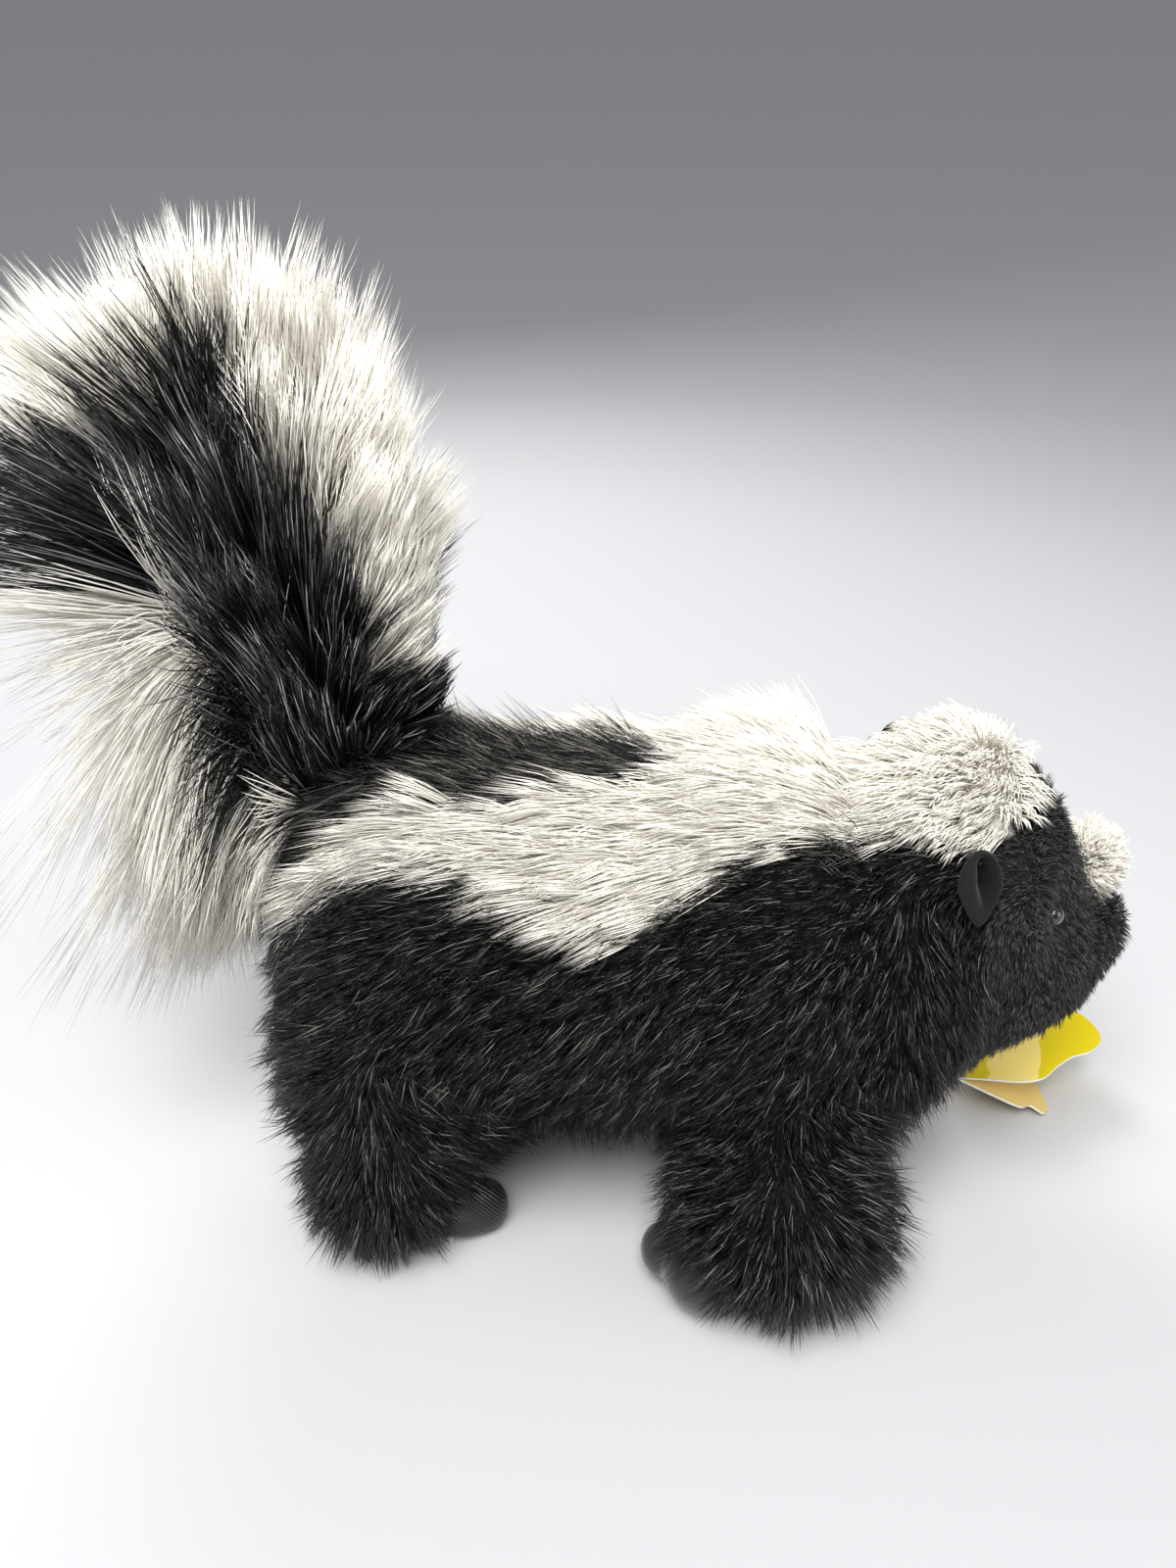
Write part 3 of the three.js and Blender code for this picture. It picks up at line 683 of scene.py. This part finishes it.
# The eyes
# Round polished beads on a thread, pressed into the velvet between brow and cheek.
EYE_PLACE, BEAD_RADIUS = (114.6, 33.9, 102.2), 0.0027
bead, tree, shader = finish_of("bead", Roughness=0.06, Coat_Weight=1.0, Coat_Roughness=0.03)
swirl = noise(tree, own_place(tree), 400.0)
feed(shader, "Base Color", mixed(tree, swirl, (0.004, 0.003, 0.003, 1), (0.012, 0.007, 0.004, 1)))
for side, sign in (("right", -1), ("left", 1)):
    build = bmesh.new()
    spot = Matrix.Translation(Vector((EYE_PLACE[0] - MIDDLE, EYE_PLACE[1] * sign, EYE_PLACE[2])) / 1000)
    bmesh.ops.create_uvsphere(build, u_segments=36, v_segments=24, radius=BEAD_RADIUS, matrix=spot)
    eye = meshed(f"bead_eye_{side}", build)
    eye.data.materials.append(bead)
    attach(eye, "root")
    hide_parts(f"eye_{side}")


# The paws
# Smooth stuffed lobes that show from under the leg pile: brown-black suede in front, a close knit behind,
# each with a seam where the small lobe is drawn in.
FRONT_PAW = [((31, -64, 12), (11.5, 11, 12)), ((20, -56, 10), (6, 7, 7))]
HIND_PAW = [((-35, -40, 7.5), (8, 7.5, 7.5)), ((-29, -38, 7), (6.5, 7, 7))]
PAW_VOXEL, PAW_SOLE = 0.0011, 0.25


def paw_distance(lobes):
    return lambda places: eggs(lobes, places, 1.2)


suede, tree, shader = finish_of("paw_suede", Roughness=0.62, Specular_IOR_Level=0.35, Sheen_Weight=0.3)
place = own_place(tree)
rub = noise(tree, place, 90.0)
feed(shader, "Base Color", mixed(tree, rub, (0.010, 0.009, 0.0085, 1), (0.034, 0.028, 0.024, 1)))
bumped(shader, noise(tree, place, 900.0, 4.0), 0.3, 0.0003)
knit, tree, shader = finish_of("paw_knit", Roughness=0.4, Specular_IOR_Level=0.5)
place = own_place(tree)
slanted = {"wave_type": "BANDS", "bands_direction": "DIAGONAL"}
ribs = node(tree, "ShaderNodeTexWave", slanted, {"Vector": place, "Scale": 420.0, "Distortion": 1.5})
loops = node(tree, "ShaderNodeTexVoronoi", {}, {"Vector": place, "Scale": 1300.0})
feed(shader, "Base Color", mixed(tree, ribs * 0.7, (0.008, 0.008, 0.008, 1), (0.028, 0.026, 0.025, 1)))
bumped(shader, ribs + loops * 0.6, 0.5, 0.0004)
for end, forms, finish in (("front", FRONT_PAW, suede), ("hind", HIND_PAW, knit)):
    for side, sign in (("right", 1), ("left", -1)):
        lobes = [((at[0], at[1] * sign, at[2]), half) for at, half in forms]
        paw = stuffed(f"{end}_paw_pad_{side}", lobes, paw_distance(lobes), PAW_VOXEL, PAW_SOLE)
        paw.data.materials.append(finish)
        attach(paw, "root")
        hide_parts(f"{end}_paw_{side}")


# The hang tag
# A card folded once: the upper leaf level under the chin, yellow with a cream panel, the lower one cream and
# drooping to the surface. Both have a white cut edge.
UPPER_LEAF = [
    (0.4, 0), (10, -1), (20, -2), (27, -0.5), (33, 4.5), (39, 8.5), (45, 10.5), (50, 15), (51, 22), (47, 31),
    (36, 36), (16, 38), (0.4, 36),
]
LOWER_LEAF = [
    (0.4, 0), (14, -1), (24, -1), (29, 2), (34, 1), (37, 6), (36, 18), (34, 30), (16, 36), (0.4, 36),
]
FOLD = Vector((113, 2, 17))
LEAF_LONG, CARD, CUT_EDGE, DROOP = 51, 0.7, 0.7, 27
# Where the cream panel starts and stops along the toy, in metres, on a slant
CREAM_FROM, CREAM_TO, SLANT = 0.1195, 0.1365, 0.33


# A smooth run of points through the corners of an outline
def smoothed(corners):
    points = []
    ends = [corners[0]] + corners + [corners[-1]]
    for a, b, c, d in zip(ends, ends[1:], ends[2:], ends[3:]):
        for t in (0, 0.2, 0.4, 0.6, 0.8):
            points.append([
                0.5 * (
                    2 * q + (r - p) * t + (2 * p - 5 * q + 4 * r - s) * t * t
                    + (3 * q - p - 3 * r + s) * t**3
                )
                for p, q, r, s in zip(a, b, c, d)
            ])
    return points + [list(corners[-1])]


def card_finish(name, print_colour):
    finish, tree, shader = finish_of(name, Specular_IOR_Level=0.35)
    place = own_place(tree)
    mottle = noise(tree, place, 160.0)
    feed(shader, "Base Color", print_colour(tree, place, mottle))
    feed(shader, "Roughness", mottle * 0.14 + 0.3)
    bumped(shader, noise(tree, place, 2500.0), 0.08, 0.0002)
    return finish


def upper_print(tree, place, mottle):
    across, deep = [node(tree, "ShaderNodeSeparateXYZ", {}, {0: place}, axis) for axis in (0, 1)]
    edge = across - deep * SLANT + noise(tree, place, 130.0) * 0.006
    cream = (edge > CREAM_FROM) * (1 - (edge > CREAM_TO))
    ink = mixed(tree, mottle * 0.5, (0.64, 0.50, 0.002, 1), (0.72, 0.57, 0.004, 1))
    return mixed(tree, cream, ink, (0.84, 0.66, 0.18, 1))


def lower_print(tree, place, mottle):
    return mixed(tree, mottle * 0.5, (0.74, 0.54, 0.17, 1), (0.80, 0.60, 0.22, 1))


def edge_print(tree, place, mottle):
    return mixed(tree, mottle, (0.82, 0.80, 0.72, 1), (0.90, 0.88, 0.82, 1))


card_edge = card_finish("card_edge", edge_print)
for name, outline, droop, colour, slot in (
    ("tag_upper", UPPER_LEAF, 0, upper_print, "tag_yellow"),
    ("tag_lower", LOWER_LEAF, DROOP, lower_print, "tag_cream"),
):
    build = bmesh.new()
    ring = [build.verts.new((x, y, 0)) for x, y in smoothed(outline)]
    face = build.faces.new(ring)
    bmesh.ops.inset_region(build, faces=[face], thickness=CUT_EDGE, use_even_offset=True)
    for border in build.faces:
        border.material_index = 0 if len(border.verts) > 4 else 1
    grown = bmesh.ops.extrude_face_region(build, geom=build.faces[:], use_keep_orig=True)
    raised = [item for item in grown["geom"] if isinstance(item, bmesh.types.BMVert)]
    bmesh.ops.translate(build, verts=raised, vec=(0, 0, CARD))
    for side_face in build.faces:
        if abs(side_face.normal.z) < 0.5:
            side_face.material_index = 1
    for cut in range(3, LEAF_LONG + 1, 3):
        geometry = build.verts[:] + build.edges[:] + build.faces[:]
        bmesh.ops.bisect_plane(build, geom=geometry, plane_co=(cut, 0, 0), plane_no=(1, 0, 0))
    for corner in build.verts:
        curl = (corner.co.x / LEAF_LONG) ** 2 * (0.9 if droop == 0 else -0.6)
        corner.co.z += curl + 0.5 * math.sin(corner.co.y / 12) * corner.co.x / LEAF_LONG
    turn = Matrix.Rotation(math.radians(droop), 4, "Y")
    spot = Matrix.Translation(FOLD - Vector((MIDDLE, 0, 0)))
    bmesh.ops.transform(build, matrix=Matrix.Scale(0.001, 4) @ spot @ turn, verts=build.verts)
    for corner in build.verts:
        corner.co.z = max(corner.co.z, 0.0004)
    leaf = meshed(name, build)
    leaf.data.polygons.foreach_set("use_smooth", np.zeros(len(leaf.data.polygons), bool))
    leaf.data.materials.append(card_finish(name + "_print", colour))
    leaf.data.materials.append(card_edge)
    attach(leaf, "root")
    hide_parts(f"{name}_leaf")


# The tag's loop
# A short white cord of two twisted threads, sewn into the chest and knotted through the corner of the tag.
CORD_STEPS, CORD_TURN, THREAD_RADIUS = 24, 0.75, 0.00045


def lies_on(edge, ring):
    return all(corner in ring for corner in edge.verts)


twine, tree, shader = finish_of("twine", Roughness=0.75, Sheen_Weight=0.3)
bands = {"Vector": own_place(tree), "Scale": 700.0, "Distortion": 0.5}
ply = node(tree, "ShaderNodeTexWave", slanted, bands)
feed(shader, "Base Color", mixed(tree, ply, (0.55, 0.52, 0.44, 1), (0.82, 0.79, 0.70, 1)))
bumped(shader, ply, 0.4, 0.0002)
build = bmesh.new()
start, stop = Vector((100, 10, 24.6)), Vector((116, 10, 18.2))
for half_turn in (0, math.pi):
    before = None
    for step in range(CORD_STEPS + 1):
        along = start.lerp(stop, step / CORD_STEPS)
        angle = half_turn + step * CORD_TURN
        offset = Vector((0.15 * math.sin(angle), 0.45 * math.cos(angle), 0.45 * math.sin(angle)))
        spot = (along + offset - Vector((MIDDLE, 0, 0))) / 1000
        face = Matrix.Translation(spot) @ (stop - start).to_track_quat("Z", "Y").to_matrix().to_4x4()
        ends = step in (0, CORD_STEPS)
        made = bmesh.ops.create_circle(build, segments=8, radius=THREAD_RADIUS, matrix=face, cap_ends=ends)
        ring = made["verts"]
        if before:
            rims = [edge for edge in build.edges if lies_on(edge, ring) or lies_on(edge, before)]
            bmesh.ops.bridge_loops(build, edges=rims)
        before = ring
cord = meshed("tag_cord", build)
cord.data.materials.append(twine)
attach(cord, "root")
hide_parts("tag_loop")


# The floor and the light
# A plain pale floor that sweeps up into a wall all round, one wide soft light over the camera's shoulder, a
# lower fill from the nose and a rim light behind the tail, in a pale room.
FLAT, SWEEP, WALL, SWEEP_STEPS, ROUND_STEPS = 0.9, 3.2, 4.0, 16, 96
build = bmesh.new()
profile = [build.verts.new((0, 0, 0)), build.verts.new((FLAT, 0, 0))]
for step in range(1, SWEEP_STEPS + 1):
    angle = step / SWEEP_STEPS * math.pi / 2
    profile.append(build.verts.new((FLAT + SWEEP * math.sin(angle), 0, SWEEP * (1 - math.cos(angle)))))
profile.append(build.verts.new((FLAT + SWEEP, 0, WALL)))
for one, two in zip(profile, profile[1:]):
    build.edges.new((one, two))
bmesh.ops.spin(
    build, geom=build.verts[:] + build.edges[:], cent=(0, 0, 0), axis=(0, 0, 1), angle=2 * math.pi,
    steps=ROUND_STEPS, use_merge=True,
)
bmesh.ops.remove_doubles(build, verts=build.verts, dist=1e-5)
floor = meshed("floor", build)
pale_grey = (0.52, 0.52, 0.53, 1)
floor.data.materials.append(
    finish_of("floor_paper", Roughness=0.9, Specular_IOR_Level=0.2, Base_Color=pale_grey)[0]
)

for name, power, size, place, aim in (
    ("key", 22, 0.7, (-0.15, -0.6, 1.05), (0, 0, 0.08)),
    ("fill", 4, 0.8, (0.95, -0.55, 0.5), (0, 0, 0.08)),
    ("rim", 9, 0.6, (-0.3, 0.85, 0.8), (0, 0, 0.12)),
):
    lamp = bpy.data.lights.new(name, "AREA")
    lamp.energy, lamp.size = power, size
    light = bpy.data.objects.new(name, lamp)
    light.location = place
    light.rotation_euler = (Vector(aim) - Vector(place)).to_track_quat("-Z", "Y").to_euler()
    bpy.context.scene.collection.objects.link(light)

room = bpy.data.worlds.new("room")
room.use_nodes = True
room.node_tree.nodes["Background"].inputs["Color"].default_value = (0.93, 0.96, 1, 1)
room.node_tree.nodes["Background"].inputs["Strength"].default_value = 0.42
bpy.context.scene.world = room
bpy.context.scene.view_settings.view_transform = "Standard"
